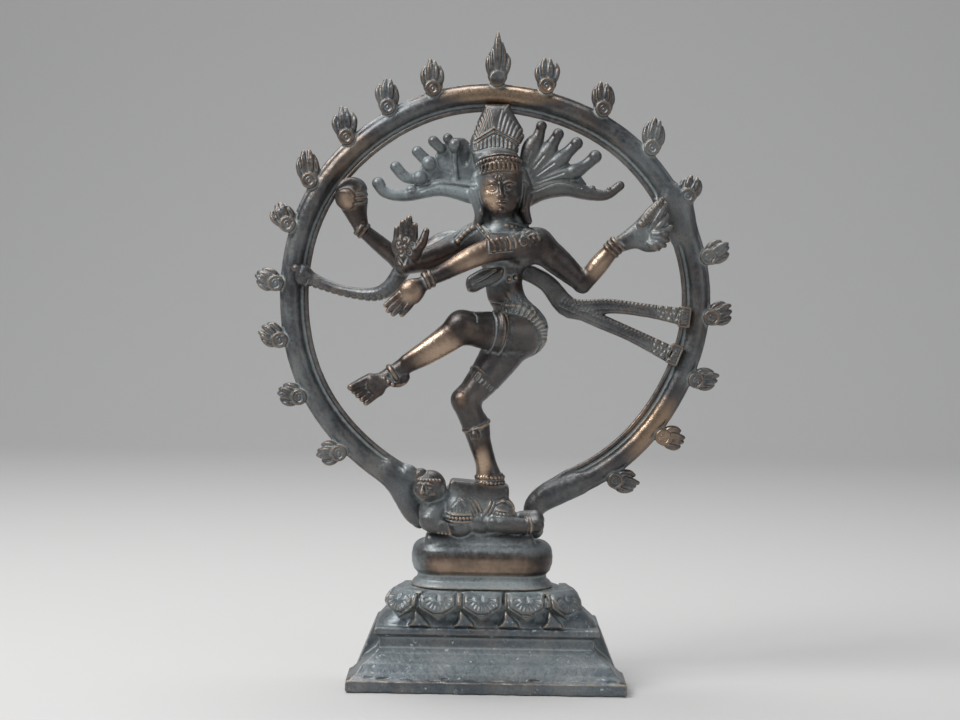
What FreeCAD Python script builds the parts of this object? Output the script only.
"""A cast brass Nataraja: a four-armed dancer on a prone dwarf, in a ring of flames, on a moulded pedestal.

Millimetres. +X is the viewer's right, +Y points away from the viewer and +Z is up. The origin is under
the middle of the object's box. "Right" and "left" in names are the dancer's own, so the right is at -X.
The castings are brazed together: no piece moves. Solids meet face to face, each one cut back where
it seats on those made before it.
"""
import FreeCAD, Part
import math
import os
from FreeCAD import Matrix, Placement, Rotation
from FreeCAD import Vector as V

# Driving dimensions
TOTAL_HEIGHT = 220.0
FOOT_HALF_WIDTH = 46.5       # plinth at the floor
FOOT_FRONT = 24.0            # plinth's front edge, ahead of the mid plane
FOOT_BACK = 20.0             # plain back half of the plinth, behind the mid plane
FILLET_HALF_WIDTH = 37.6     # plinth's top moulding
PLINTH_TOP = 20.5
WALL = 3.2
WELL = (24.0, -9.0, 11.0)    # half width, front and back of the hollow that runs up into the lotus tier
PEDESTAL_X = -2.0            # the lotus tier and cushion stand a little off the middle
TIER_TOP = 33.0
CUSHION_BOTTOM = 37.0
CUSHION_TOP = 47.5
RING_X = 0.4
RING_Z = 130.0
RING_OUTER = 72.7
RING_INNER = 63.9
RIB_RADIUS = 2.7             # half-round rib along the middle of the ring
RIB_AT = 69.3                # radius of the rib's centre
BAND_FRONT = 3.0
BAND_BACK = 6.0
SASH_FRONT = 0.2
RING_RIGHT_END = -160.0      # degrees clockwise from the top, seen from the front
RING_LEFT_END = 167.0

# Flames: place round the ring, and the way each one points, both in degrees clockwise from straight up.
# Those on the ring's upper half stand taller than those on its flanks.
LEFT_FLAMES = ((13, 1), (29, 1), (45, 10), (61, 18), (78, 60), (94, 66), (111, 84), (128, 96), (145, 100))
RIGHT_FLAMES = ((-17, -3), (-30, 0), (-43, -8), (-58, -8), (-71, -28), (-87, -64), (-102, -62), (-118, -75),
                (-136, -90))
UPPER_FLAMES_WITHIN = 60.0
UPPER_FLAME_LENGTH = 9.2
FLANK_FLAME_LENGTH = 7.0
FLAME_SEAT = 1.3             # from the ring's edge out to the centre of a flame's boss
FLAME_TIP_RADIUS = 0.62
BOSS_RADIUS = 2.1

# The dancer's joints
NECK = V(2.6, -4.0, 156.0)
CHEST = V(3.2, -3.5, 147.0)
WAIST = V(3.6, -3.5, 133.5)
HIPS = V(9.0, -5.0, 121.0)
HEAD = V(2.0, -7.0, 167.4)
CROWN_LEANS_BACK = 13.0      # degrees; its point meets the ring
RIGHT_HIP = V(5.0, -5.0, 114.5)
RIGHT_KNEE = V(-9.8, -12.0, 96.0)
RIGHT_ANKLE = V(0.0, -6.5, 71.5)
RIGHT_HEEL = V(3.4, -6.0, 66.9)
RIGHT_TOES = V(-9.6, -7.5, 66.3)
LEFT_HIP = V(10.5, -8.0, 119.5)
LEFT_KNEE = V(-8.8, -16.5, 120.6)
LEFT_ANKLE = V(-32.6, -19.0, 105.2)
LEFT_HEEL = V(-31.0, -19.0, 102.6)
LEFT_TOES = V(-42.6, -20.5, 98.4)
RIGHT_SHOULDER = V(-6.5, -3.5, 150.5)
LEFT_SHOULDER = V(14.0, -3.5, 149.0)
BLESSING_ELBOW = V(-22.5, -7.5, 142.8)
BLESSING_WRIST = V(-29.6, -13.5, 140.8)
DRUM_SHOULDER = V(-6.5, 1.5, 149.5)
DRUM_ELBOW = V(-30.5, 0.5, 141.8)
DRUM_WRIST = V(-44.4, -1.5, 152.8)
DRUM_CENTRE = V(-48.6, -3.0, 163.0)
SWEEP_SHOULDER = V(13.0, -7.5, 147.8)
SWEEP_ELBOW = V(1.0, -14.5, 147.6)
SWEEP_WRIST = V(-21.4, -19.0, 136.4)
SWEEP_TIPS = V(-32.6, -21.0, 125.2)
FLAME_ELBOW = V(29.6, -3.5, 136.6)
FLAME_WRIST = V(40.6, -5.0, 148.4)


def unit(v):
    return V(v).normalize()


def between(a, b, share):
    return a + (b - a) * share


def solid_of(shape):
    """The largest solid of a shape, which drops the crumbs that a cut can leave."""
    return max(shape.Solids, key=lambda s: s.Volume)


def fused(first, *others):
    return solid_of(first.multiFuse(list(others)).removeSplitter())


def seated(shape, *neighbours):
    """The shape cut back where its neighbours already are."""
    for other in neighbours:
        shape = solid_of(shape.cut(other))
    return shape


def placed(shape, base, up, front=V(0, -1, 0)):
    """Stands a shape made along +Z, facing -Y, on base, pointing up and turned to face front."""
    z = unit(up)
    side = unit(z.cross(-front))
    face = z.cross(side)
    turn = Matrix(-side.x, -face.x, z.x, base.x, -side.y, -face.y, z.y, base.y, -side.z, -face.z, z.z, base.z)
    copy = shape.copy()
    copy.Placement = Placement(turn)
    return copy


def capsule(a, b, ra, rb):
    """A round-ended limb: balls of radius ra and rb and the cone that touches both."""
    length = (b - a).Length
    lean = math.asin((ra - rb) / length)
    c, s = math.cos(lean), math.sin(lean)
    m, n = math.cos((lean - math.pi / 2) / 2), math.sin((lean - math.pi / 2) / 2)
    p, q = math.cos((lean + math.pi / 2) / 2), math.sin((lean + math.pi / 2) / 2)
    foot, heel = V(0, 0, -ra), V(ra * c, 0, ra * s)
    toe, tip = V(rb * c, 0, length + rb * s), V(0, 0, length + rb)
    outline = Part.Wire([
        Part.Arc(foot, V(ra * m, 0, ra * n), heel).toShape(),
        Part.LineSegment(heel, toe).toShape(),
        Part.Arc(toe, V(rb * p, 0, length + rb * q), tip).toShape(),
        Part.LineSegment(tip, foot).toShape(),
    ])
    limb = Part.Face(outline).revolve(V(0, 0, 0), V(0, 0, 1), 360)
    limb.Placement = Placement(a, Rotation(V(0, 0, 1), b - a))
    return solid_of(limb)


def rope(points, radii):
    """Capsules end to end along a line of points."""
    pieces = [capsule(a, b, ra, rb) for a, b, ra, rb in zip(points, points[1:], radii, radii[1:])]
    return fused(pieces[0], *pieces[1:])


def egg(centre, rx, ry, rz):
    """An upright ellipsoid."""
    grow = Matrix()
    grow.scale(V(rx, ry, rz))
    shape = solid_of(Part.makeSphere(1.0).transformGeometry(grow))
    shape.Placement = Placement(centre, Rotation())
    return shape


def bangle(centre, axis, radius, thickness):
    return Part.makeTorus(radius, thickness, centre, axis)


def sheet(points, front, back):
    """A flat piece with the outline given in X and Z, from front to back in Y."""
    corners = [V(x, front, z) for x, z in points]
    curve = Part.BSplineCurve()
    curve.interpolate(corners, PeriodicFlag=True)
    return solid_of(Part.Face(Part.Wire(curve.toShape())).extrude(V(0, back - front, 0)))


def ribbon(points, widths, front, back):
    """A flat band along a line of (x, z) points, smooth along both edges."""
    left, right = [], []
    for i, (x, z) in enumerate(points):
        x0, z0 = points[max(i - 1, 0)]
        x1, z1 = points[min(i + 1, len(points) - 1)]
        run = math.hypot(x1 - x0, z1 - z0)
        across = V(-(z1 - z0) / run, 0, (x1 - x0) / run) * (widths[i] / 2)
        left.append(V(x, front, z) + across)
        right.append(V(x, front, z) - across)
    edges = []
    for side in (left, right):
        curve = Part.BSplineCurve()
        curve.interpolate(side)
        edges.append(curve.toShape())
    ends = [Part.LineSegment(left[i], right[i]).toShape() for i in (0, -1)]
    band = Part.Face(Part.Wire([edges[0], ends[1], edges[1], ends[0]]))
    return solid_of(band.extrude(V(0, back - front, 0)))


def rounded_outline(half_x, front, back, corner, z, x0=0.0):
    """A rectangle in plan with round corners, as a wire at height z."""
    lo_x, hi_x = x0 - half_x, x0 + half_x
    k = corner * (1 - math.sqrt(0.5))
    p = [V(lo_x + corner, front, z), V(hi_x - corner, front, z), V(hi_x, front + corner, z),
         V(hi_x, back - corner, z), V(hi_x - corner, back, z), V(lo_x + corner, back, z),
         V(lo_x, back - corner, z), V(lo_x, front + corner, z)]
    mid = [V(hi_x - k, front + k, z), V(hi_x - k, back - k, z),
           V(lo_x + k, back - k, z), V(lo_x + k, front + k, z)]
    edges = []
    for i in range(4):
        edges.append(Part.LineSegment(p[2 * i], p[2 * i + 1]).toShape())
        edges.append(Part.Arc(p[2 * i + 1], mid[i], p[(2 * i + 2) % 8]).toShape())
    return Part.Wire(edges)


# Pedestal

def frustum(low, high):
    """A ruled block between two rectangles, each (half width, front, back, height)."""
    wires = []
    for half, front, back, z in (low, high):
        corners = [V(-half, front, z), V(half, front, z), V(half, back, z), V(-half, back, z)]
        wires.append(Part.makePolygon(corners + corners[:1]))
    return solid_of(Part.makeLoft(wires, True, True))


def make_plinth():
    """A hollow casting. Its mouldings run across the front and round both ends to the mid plane, and
    a plain sloping block behind them shows past their hollow."""
    out = FOOT_HALF_WIDTH - FOOT_FRONT
    steps = ((FOOT_HALF_WIDTH, 0.0), (FOOT_HALF_WIDTH, 4.0), (44.4, 5.6), (40.2, 9.2), (36.4, 12.6),
             (35.8, 16.0), (36.4, 17.8), (FILLET_HALF_WIDTH, 18.2), (FILLET_HALF_WIDTH, PLINTH_TOP))
    layers = [frustum((w0, out - w0, 0.0, z0), (w1, out - w1, 0.0, z1))
              for (w0, z0), (w1, z1) in zip(steps, steps[1:])]
    behind = frustum((FOOT_HALF_WIDTH - 0.6, 0.0, FOOT_BACK, 0.0),
                     (FILLET_HALF_WIDTH + 0.4, 0.0, FOOT_BACK - 4, PLINTH_TOP))
    roof_front = out - FILLET_HALF_WIDTH + WALL + 2.4
    hollow = frustum((FOOT_HALF_WIDTH - WALL - 1, WALL + 1 - FOOT_FRONT, FOOT_BACK - WALL, -1.0),
                     (FILLET_HALF_WIDTH - 2 * WALL, roof_front, FOOT_BACK - 4 - WALL, PLINTH_TOP - WALL))
    well = frustum((*WELL, PLINTH_TOP - WALL - 1), (*WELL, PLINTH_TOP + 1))
    return seated(fused(behind, *layers), hollow, well)


def make_lotus_tier():
    sections = ((36.6, -14.8, 15.6, 7.0, PLINTH_TOP), (34.6, -14.0, 15.0, 8.0, 24.5),
                (31.0, -12.8, 14.2, 9.0, 28.6), (25.2, -11.6, 13.2, 10.0, TIER_TOP))
    lean = PEDESTAL_X / (TIER_TOP - PLINTH_TOP)
    outlines = [rounded_outline(w, f, b, r, z, lean * (z - PLINTH_TOP)) for w, f, b, r, z in sections]
    body = solid_of(Part.makeLoft(outlines, True))
    hollow = frustum((*WELL, PLINTH_TOP), (20.0, -8.0, 10.0, TIER_TOP - WALL))
    return seated(body, hollow)


def make_petals(tier):
    """Lotus petals that hang from the tier's shoulder, in front, at the front corners and at both ends."""
    places = ((-16.6, -14.2, 0), (-2.0, -14.6, 0), (12.8, -14.2, 0), (-28.6, -11.4, -38), (25.6, -11.4, 38),
              (-32.6, 2.0, -90), (30.2, 2.0, 90))
    top, hip, point = 31.6, 27.6, 22.8
    outline = [V(-5.6, 0, top), V(-6.2, 0, hip), V(0, 0, point), V(6.2, 0, hip), V(5.6, 0, top)]
    petals = []
    for x, y, turn in places:
        petal = Part.Face(Part.makePolygon(outline + outline[:1])).extrude(V(0, 5.4, 0))
        petal.rotate(V(0, 0, top), V(1, 0, 0), -14)
        petal.rotate(V(0, 0, 0), V(0, 0, 1), turn)
        petal.translate(V(x, y - 1.2, 0))
        petals.append(seated(petal, tier))
    return Part.makeCompound(petals)


def make_cushion():
    """The collar above the lotus tier and the cushion with rounded edges that the dwarf lies on."""
    slab = Part.Face(rounded_outline(23.4, -13.6, 13.8, 11.5, CUSHION_BOTTOM, PEDESTAL_X)).extrude(
        V(0, 0, CUSHION_TOP - CUSHION_BOTTOM))
    rims = [e for e in slab.Edges if abs(e.BoundBox.ZLength) < 1e-6]
    slab = solid_of(slab.makeFillet(4.6, rims))
    collar = Part.makeLoft([rounded_outline(24.2, -11.4, 13.0, 10.0, TIER_TOP, PEDESTAL_X),
                            rounded_outline(23.0, -11.6, 12.4, 10.0, CUSHION_BOTTOM + 4.6, PEDESTAL_X)], True)
    return fused(slab, collar)


# Ring of flames

def ring_point(angle, radius, y):
    a = math.radians(angle)
    return V(RING_X + radius * math.sin(a), y, RING_Z + radius * math.cos(a))


def make_ring():
    """The band with its half-round rib, open at the foot where the dwarf lies."""
    half = RIB_RADIUS
    p = [V(RING_INNER, BAND_FRONT, 0), V(RIB_AT - half, BAND_FRONT, 0), V(RIB_AT, BAND_FRONT - half, 0),
         V(RIB_AT + half, BAND_FRONT, 0), V(RING_OUTER, BAND_FRONT, 0), V(RING_OUTER, BAND_BACK, 0),
         V(RING_INNER, BAND_BACK, 0)]
    edges = [Part.LineSegment(p[0], p[1]).toShape(), Part.Arc(p[1], p[2], p[3]).toShape()]
    edges += [Part.LineSegment(p[i], p[(i + 1) % 7]).toShape() for i in range(3, 7)]
    # The section lies in X and Y, beside the ring's axis, which is local +Y.
    section = Part.Face(Part.Wire(edges))
    section.rotate(V(0, 0, 0), V(0, 1, 0), RING_LEFT_END - 90)
    swept = section.revolve(V(0, 0, 0), V(0, 1, 0), -(RING_LEFT_END - RING_RIGHT_END))
    swept.translate(V(RING_X, 0, RING_Z))
    return solid_of(swept)


def make_ring_feet(ring, cushion):
    """The braze-filled feet that carry the ring's two ends down to the cushion."""
    feet = []
    for end, foot_x in ((RING_RIGHT_END, -22.0), (RING_LEFT_END, 15.5)):
        top = ring_point(end, RIB_AT - 0.6, 4.4)
        foot = capsule(V(foot_x, 4.4, CUSHION_TOP + 1.5), top, 3.6, 3.9)
        feet.append(seated(foot, ring, cushion))
    return Part.makeCompound(feet)


def make_flame(around, points, length):
    """A boss and four tongues, seated on the ring's edge."""
    spread = 1.0 + 0.02 * (length - FLANK_FLAME_LENGTH)
    tongues = []
    for x, share, lean in ((-1.9, 0.72, -16), (-0.7, 0.95, -5), (0.6, 1.0, 3), (1.9, 0.76, 15)):
        tip = V(x + share * length * math.tan(math.radians(lean)) * 0.5, 0.5, share * length)
        tongues.append(capsule(V(x * spread * 0.7, 0.3, 0.6), tip, 1.35 * spread, FLAME_TIP_RADIUS))
    boss = Part.makeCylinder(BOSS_RADIUS * spread, 3.4, V(0, -2.6, 0), V(0, 1, 0))
    rim = [e for e in boss.Edges if e.BoundBox.YLength < 0.1 and e.BoundBox.YMin < 0]
    boss = solid_of(boss.makeFillet(0.9, rim))
    lean = math.radians(points)
    return placed(fused(boss, *tongues), ring_point(around, RING_OUTER + FLAME_SEAT, 3.4),
                  V(math.sin(lean), 0, math.cos(lean)))


def make_flames():
    centre = V(RING_X, BAND_FRONT, RING_Z)
    band = Part.makeCylinder(RING_OUTER, BAND_BACK - BAND_FRONT, centre, V(0, 1, 0))
    rib = Part.makeCylinder(RIB_AT + RIB_RADIUS, RIB_RADIUS, centre - V(0, RIB_RADIUS, 0), V(0, 1, 0))
    for core in (band, rib):
        core.rotate(centre, V(0, 1, 0), 90)
    top_length = TOTAL_HEIGHT - RING_Z - RING_OUTER - FLAME_SEAT - FLAME_TIP_RADIUS
    flames = {"top_flame": seated(make_flame(0, 0, top_length), band, rib)}
    for side, row in (("left", LEFT_FLAMES), ("right", RIGHT_FLAMES)):
        for i, (around, points) in enumerate(row):
            upper = abs(around) < UPPER_FLAMES_WITHIN
            length = UPPER_FLAME_LENGTH if upper else FLANK_FLAME_LENGTH
            flames[f"{side}_flame_{i + 1}"] = seated(make_flame(around, points, length), band, rib)
    return flames


# The dwarf under the dancer's foot

def make_dwarf(cushion, foot):
    body = fused(capsule(V(-12.0, -4.5, 54.5), V(2.0, -4.0, 55.0), 7.2, 7.0),
                 capsule(V(-8.0, -5.0, 60.5), V(4.0, -5.0, 60.0), 4.8, 4.8),
                 capsule(V(-15.0, -3.0, 56.0), V(-20.0, -3.5, 60.0), 5.2, 4.2))
    body = seated(body, cushion, foot)
    head = seated(egg(V(-19.6, -7.5, 66.8), 5.5, 5.3, 5.6), body)
    arm = rope([V(-17.6, -9.5, 57.0), V(-19.0, -11.0, 52.4), V(-10.4, -12.6, 51.6)], [3.9, 3.4, 2.6])
    arm = seated(arm, cushion, body)
    legs = fused(capsule(V(2.6, -8.6, 55.4), V(12.6, -8.0, 54.4), 4.6, 4.2),
                 capsule(V(12.6, -8.0, 54.4), V(17.4, -2.0, 51.8), 4.2, 3.0))
    legs = seated(legs, cushion, body)
    return {"dwarf_body": body, "dwarf_head": head, "dwarf_arm": arm, "dwarf_legs": legs}


# The dancer

def make_trunk():
    chest = fused(capsule(CHEST + V(-3.8, 0.3, 0.6), CHEST + V(4.0, 0.3, 0.2), 6.3, 6.5),
                  capsule(V(-6.0, -3.6, 151.0), V(12.6, -3.6, 149.6), 4.2, 4.4),
                  capsule(CHEST - V(0, 0, 4), WAIST - V(0, 0, 4), 6.6, 6.2))
    pelvis = capsule(HIPS + V(-3.0, 0, -0.8), HIPS + V(1.6, 0, 0.4), 7.6, 8.1)
    hips = fused(pelvis, capsule(WAIST - V(0, 0, 5), HIPS, 6.1, 7.0))
    return chest, seated(hips, chest)


def make_head(torso):
    skull = fused(egg(HEAD, 7.3, 7.6, 9.0), egg(HEAD + V(0, 0.6, 5.0), 8.0, 7.8, 6.6),
                  capsule(NECK - V(0, 0, 1), HEAD - V(0, -1.5, 4), 3.6, 3.4))
    return seated(skull, torso)


def make_crown(head, ring):
    """The tall headdress: a swelling cone with a fan of feathers to its point."""
    outline = [V(0, 0, 175.5), V(7.6, 0, 176.5), V(8.6, 0, 181.5), V(8.2, 0, 185.5), V(4.6, 0, 191.5),
               V(1.6, 0, 195.4), V(0, 0, 195.8)]
    curve = Part.BSplineCurve()
    curve.interpolate(outline)
    wire = Part.Wire([curve.toShape(), Part.LineSegment(outline[-1], outline[0]).toShape()])
    cone = solid_of(Part.Face(wire).revolve(V(0, 0, 0), V(0, 0, 1), 360))
    flat = Matrix()
    flat.scale(V(1, 0.62, 1))
    cone = solid_of(cone.transformGeometry(flat))
    cone.rotate(V(0, 0, 176), V(1, 0, 0), -CROWN_LEANS_BACK)
    cone.translate(V(1.4, -4.0, 0))
    return seated(cone, head, ring)


def make_hair(head, crown, ring):
    """Two fans of flying locks, each a web with thick locks along it."""
    right_web = sheet([(-6.0, 178.0), (-12.5, 179.0), (-18.0, 172.0), (-26.0, 167.0), (-24.0, 163.6),
                       (-14.0, 165.6), (-4.5, 162.5)], -1.5, 1.5)
    right = fused(right_web,
                  rope([V(-4, 0, 163), V(-14, -0.5, 165.4), V(-26, -1, 163.6), V(-35, -1, 164.6),
                        V(-38.4, -1, 167.6)], [2.6, 2.3, 2.2, 2.0, 1.9]),
                  rope([V(-23, -1, 167.4), V(-30, -1, 168.6), V(-32.4, -1, 172.2)], [2.2, 1.8, 1.6]),
                  capsule(V(-19.6, -1, 173.2), V(-25.4, -1, 178.4), 2.8, 1.8),
                  capsule(V(-15.0, 0, 177.0), V(-19.2, -1, 181.0), 2.0, 1.8),
                  capsule(V(-9.6, -1, 168.0), V(-10.8, -1.6, 180.6), 1.3, 2.4))
    roots = (V(8.2, -0.3, 168.6), V(8.8, -0.8, 168.2), V(9.4, -0.5, 167.4), V(10.4, -0.9, 166.8))
    swells = (V(13.4, -1, 180.6), V(17.6, -1.1, 178.6), V(21.6, -1, 175.2), V(26.0, -1.1, 171.6))
    tips = (V(15.2, -1, 187.2), V(20.8, -1.1, 184.8), V(27.2, -1, 181.8), V(34.0, -1.1, 177.6))
    locks = [rope([root, swell, tip], [3.2, 3.1, 1.7]) for root, swell, tip in zip(roots, swells, tips)]
    low = rope([V(8.4, -0.5, 163.6), V(22.0, -1, 167.0), V(33.0, -1, 165.6), V(40.6, -1, 169.0)],
               [4.0, 3.2, 2.4, 1.8])
    left = fused(low, *locks)
    return seated(right, head, crown, ring), seated(left, head, crown, ring)


def make_legs(hips, torso):
    left_thigh = seated(capsule(LEFT_HIP, LEFT_KNEE, 7.3, 5.2), hips, torso)
    right_thigh = seated(capsule(RIGHT_HIP, RIGHT_KNEE, 7.4, 4.5), hips, left_thigh)
    right_shin = seated(capsule(RIGHT_KNEE, RIGHT_ANKLE, 4.4, 4.2), right_thigh)
    right_foot = fused(capsule(RIGHT_HEEL, RIGHT_TOES, 2.9, 2.2),
                       capsule(RIGHT_ANKLE - V(0, 0, 1), RIGHT_HEEL, 4.0, 2.8))
    right_foot = seated(right_foot, right_shin)
    left_shin = seated(capsule(LEFT_KNEE, LEFT_ANKLE, 5.0, 3.0), left_thigh)
    left_foot = fused(capsule(LEFT_HEEL, LEFT_TOES, 2.6, 2.9),
                      capsule(LEFT_ANKLE, between(LEFT_HEEL, LEFT_TOES, 0.4), 2.8, 2.6))
    left_foot = seated(left_foot, left_shin)
    return {"left_thigh": left_thigh, "right_thigh": right_thigh, "right_shin": right_shin,
            "right_foot": right_foot, "left_shin": left_shin, "left_foot": left_foot}


def make_hand(wrist, palm, tips, thumb, width, palm_radius, tip_radius):
    """A palm and four fingers fanned across a width, and a thumb."""
    along = unit(tips - wrist)
    across = unit(along.cross(V(0, -1, 0))) * width
    knuckles = between(wrist, tips, palm)
    fingers = []
    for k in (-1.0, -0.33, 0.33, 1.0):
        tip = between(wrist, tips, 1.0 - 0.1 * abs(k)) + across * (k * 0.8)
        fingers.append(capsule(knuckles + across * (k * 0.55), tip, tip_radius * 1.35, tip_radius))
    fingers.append(capsule(between(wrist, knuckles, 0.4), thumb, tip_radius * 1.5, tip_radius * 1.1))
    return fused(capsule(wrist, knuckles, palm_radius * 0.8, palm_radius), *fingers)


def make_arms(torso, ring):
    parts = {}
    blessing_upper = seated(capsule(RIGHT_SHOULDER, BLESSING_ELBOW, 4.7, 3.9), torso)
    blessing_fore = seated(capsule(BLESSING_ELBOW, BLESSING_WRIST, 3.9, 2.9), blessing_upper)
    drum_upper = seated(capsule(DRUM_SHOULDER, DRUM_ELBOW, 4.0, 3.2), torso, blessing_upper, blessing_fore)
    drum_fore = seated(capsule(DRUM_ELBOW, DRUM_WRIST, 3.3, 2.6), drum_upper, blessing_fore, blessing_upper)
    blessing_hand = make_hand(BLESSING_WRIST + V(0.4, -0.5, 1.8), 0.5, V(-27.6, -14.5, 155.4),
                              V(-22.6, -15.0, 149.8), 4.4, 3.6, 1.15)
    parts["blessing_upper_arm"] = blessing_upper
    parts["blessing_forearm"] = blessing_fore
    parts["blessing_hand"] = seated(blessing_hand, blessing_fore)
    parts["drum_upper_arm"] = drum_upper
    parts["drum_forearm"] = drum_fore
    drum_hand = fused(capsule(DRUM_WRIST, DRUM_CENTRE - V(0.5, 0, 3.4), 2.7, 4.2),
                      capsule(DRUM_CENTRE + V(3.6, 0, -3), DRUM_CENTRE + V(3.8, -0.5, 2.6), 2.0, 1.7))
    drum_hand = seated(drum_hand, drum_fore)
    axis = V(-0.35, -0.78, -0.52)
    front_cup = Part.makeCone(2.4, 3.9, 4.6, DRUM_CENTRE, axis)
    back_cup = Part.makeCone(2.4, 3.9, 4.6, DRUM_CENTRE, -axis)
    parts["drum"] = fused(front_cup, back_cup)
    parts["drum_hand"] = seated(drum_hand, parts["drum"])
    sweep_upper = seated(capsule(SWEEP_SHOULDER, SWEEP_ELBOW, 4.6, 3.7), torso)
    sweep_fore = seated(capsule(SWEEP_ELBOW, SWEEP_WRIST, 3.6, 2.6), sweep_upper, torso)
    sweep_hand = make_hand(SWEEP_WRIST - V(1.6, 0.2, 1.0), 0.5, SWEEP_TIPS, V(-30.8, -19.0, 128.6),
                           3.2, 3.0, 0.95)
    parts["sweeping_upper_arm"] = sweep_upper
    parts["sweeping_forearm"] = sweep_fore
    parts["sweeping_hand"] = seated(sweep_hand, sweep_fore)
    flame_upper = seated(capsule(LEFT_SHOULDER + V(1, 0, -0.5), FLAME_ELBOW, 4.6, 3.5), torso, sweep_upper)
    flame_fore = seated(capsule(FLAME_ELBOW, FLAME_WRIST, 3.4, 2.7), flame_upper)
    parts["flame_upper_arm"] = flame_upper
    parts["flame_forearm"] = flame_fore
    palm = capsule(FLAME_WRIST + V(1.2, 0, 1.0), V(49.0, -4.5, 152.6), 2.8, 4.6)
    parts["flame_hand"] = seated(palm, flame_fore)
    tips = (V(57.2, 1.7, 163.4), V(57.8, -3.0, 158.6), V(58.8, -4.0, 153.4), V(57.0, -4.5, 149.6))
    tongues = [capsule(V(49.5, -4.0, 153.0), tip, 2.4, 1.3) for tip in tips]
    parts["hand_flame"] = seated(fused(tongues[0], *tongues[1:]), parts["flame_hand"], ring)
    return parts


def make_drapery(torso, head, ring, arms):
    upper = ribbon([(13.0, 138.6), (20.0, 134.4), (29.6, 130.2), (40.0, 130.6), (52.0, 128.6), (66.6, 124.6)],
                   [6.0, 7.6, 8.0, 5.6, 5.8, 7.4], SASH_FRONT, BAND_FRONT)
    lower = ribbon([(26.0, 129.8), (35.0, 124.6), (47.0, 119.2), (62.4, 112.4)], [5.0, 6.0, 6.2, 7.0],
                   SASH_FRONT, BAND_FRONT)
    upper = seated(upper, torso, arms["flame_upper_arm"])
    sash = seated(fused(upper, lower), ring)
    scarf = rope([V(0.0, -9.6, 138.8), V(-3.6, -9.4, 136.8), V(-7.0, -8.4, 133.8)], [1.2, 2.6, 1.3])
    scarf = seated(scarf, torso)
    serpent = rope([V(-31, -9, 138.2), V(-34.6, -8, 133), V(-40, -6, 130.4), V(-48, -4, 131.6),
                    V(-57, -1.6, 134.6), V(-63.6, 0.6, 137)], [3.2, 3.4, 3.1, 2.5, 2.7, 3.8])
    serpent = seated(serpent, arms["blessing_forearm"], arms["drum_forearm"], arms["blessing_hand"], ring)
    necklace = seated(bangle(V(2.8, -5.4, 153.2), V(0.1, -0.62, 0.8), 5.0, 0.9), torso, head,
                      arms["sweeping_upper_arm"])
    return {"sash": sash, "scarf_end": scarf, "serpent": serpent, "necklace": necklace}


def make_bangles(wearers):
    """Bracelets, an armlet and anklets: one ring on each limb, cut to fit it."""
    shin = RIGHT_ANKLE - RIGHT_KNEE
    places = ((DRUM_WRIST, DRUM_WRIST - DRUM_ELBOW, 2.9), (SWEEP_WRIST, SWEEP_WRIST - SWEEP_ELBOW, 2.9),
              (FLAME_WRIST, FLAME_WRIST - FLAME_ELBOW, 3.0), (LEFT_ANKLE, LEFT_ANKLE - LEFT_KNEE, 3.1),
              (RIGHT_ANKLE - V(0, 0, 1.6), V(0, 0, 1), 4.2), (RIGHT_KNEE + shin * 0.34, shin, 4.4))
    rings = []
    for centre, axis, radius in places:
        ring = bangle(centre, axis, radius, 0.8)
        near = [w for w in wearers if w.BoundBox.intersect(ring.BoundBox)]
        rings.append(seated(ring, *near))
    return Part.makeCompound(rings)


def main():
    nodes = {}
    nodes["plinth"] = make_plinth()
    nodes["lotus_tier"] = make_lotus_tier()
    nodes["lotus_petals"] = make_petals(nodes["lotus_tier"])
    nodes["cushion"] = make_cushion()
    ring = make_ring()
    nodes["flame_ring"] = ring
    nodes["ring_feet"] = make_ring_feet(ring, nodes["cushion"])
    nodes.update(make_flames())
    torso, hips = make_trunk()
    nodes["torso"], nodes["hips"] = torso, hips
    legs = make_legs(hips, torso)
    nodes.update(legs)
    nodes.update(make_dwarf(nodes["cushion"], legs["right_foot"]))
    for name in ("dwarf_body", "dwarf_legs", "dwarf_head"):
        nodes[name] = seated(nodes[name], *nodes["ring_feet"].Solids, ring)
    nodes["head"] = make_head(torso)
    nodes["crown"] = make_crown(nodes["head"], ring)
    nodes["right_hair_fan"], nodes["left_hair_fan"] = make_hair(nodes["head"], nodes["crown"], ring)
    arms = make_arms(torso, ring)
    nodes.update(arms)
    nodes.update(make_drapery(torso, nodes["head"], ring, arms))
    wearers = ("drum_forearm", "drum_hand", "sweeping_forearm", "sweeping_hand", "flame_forearm",
               "flame_hand", "left_shin", "left_foot", "right_shin", "right_foot")
    nodes["bangles"] = make_bangles([nodes[name] for name in wearers])

    whole = Part.makeCompound(list(nodes.values()))
    box = whole.optimalBoundingBox()
    shift = V(-(box.XMin + box.XMax) / 2, -(box.YMin + box.YMax) / 2, -box.ZMin)
    os.makedirs("parts", exist_ok=True)
    for name, shape in nodes.items():
        shape.translate(shift)
        shape.exportStep(f"parts/{name}.step")
    print(len(nodes), "nodes, moved by", shift, "in a box of", box.XLength, box.YLength, box.ZLength)


main()
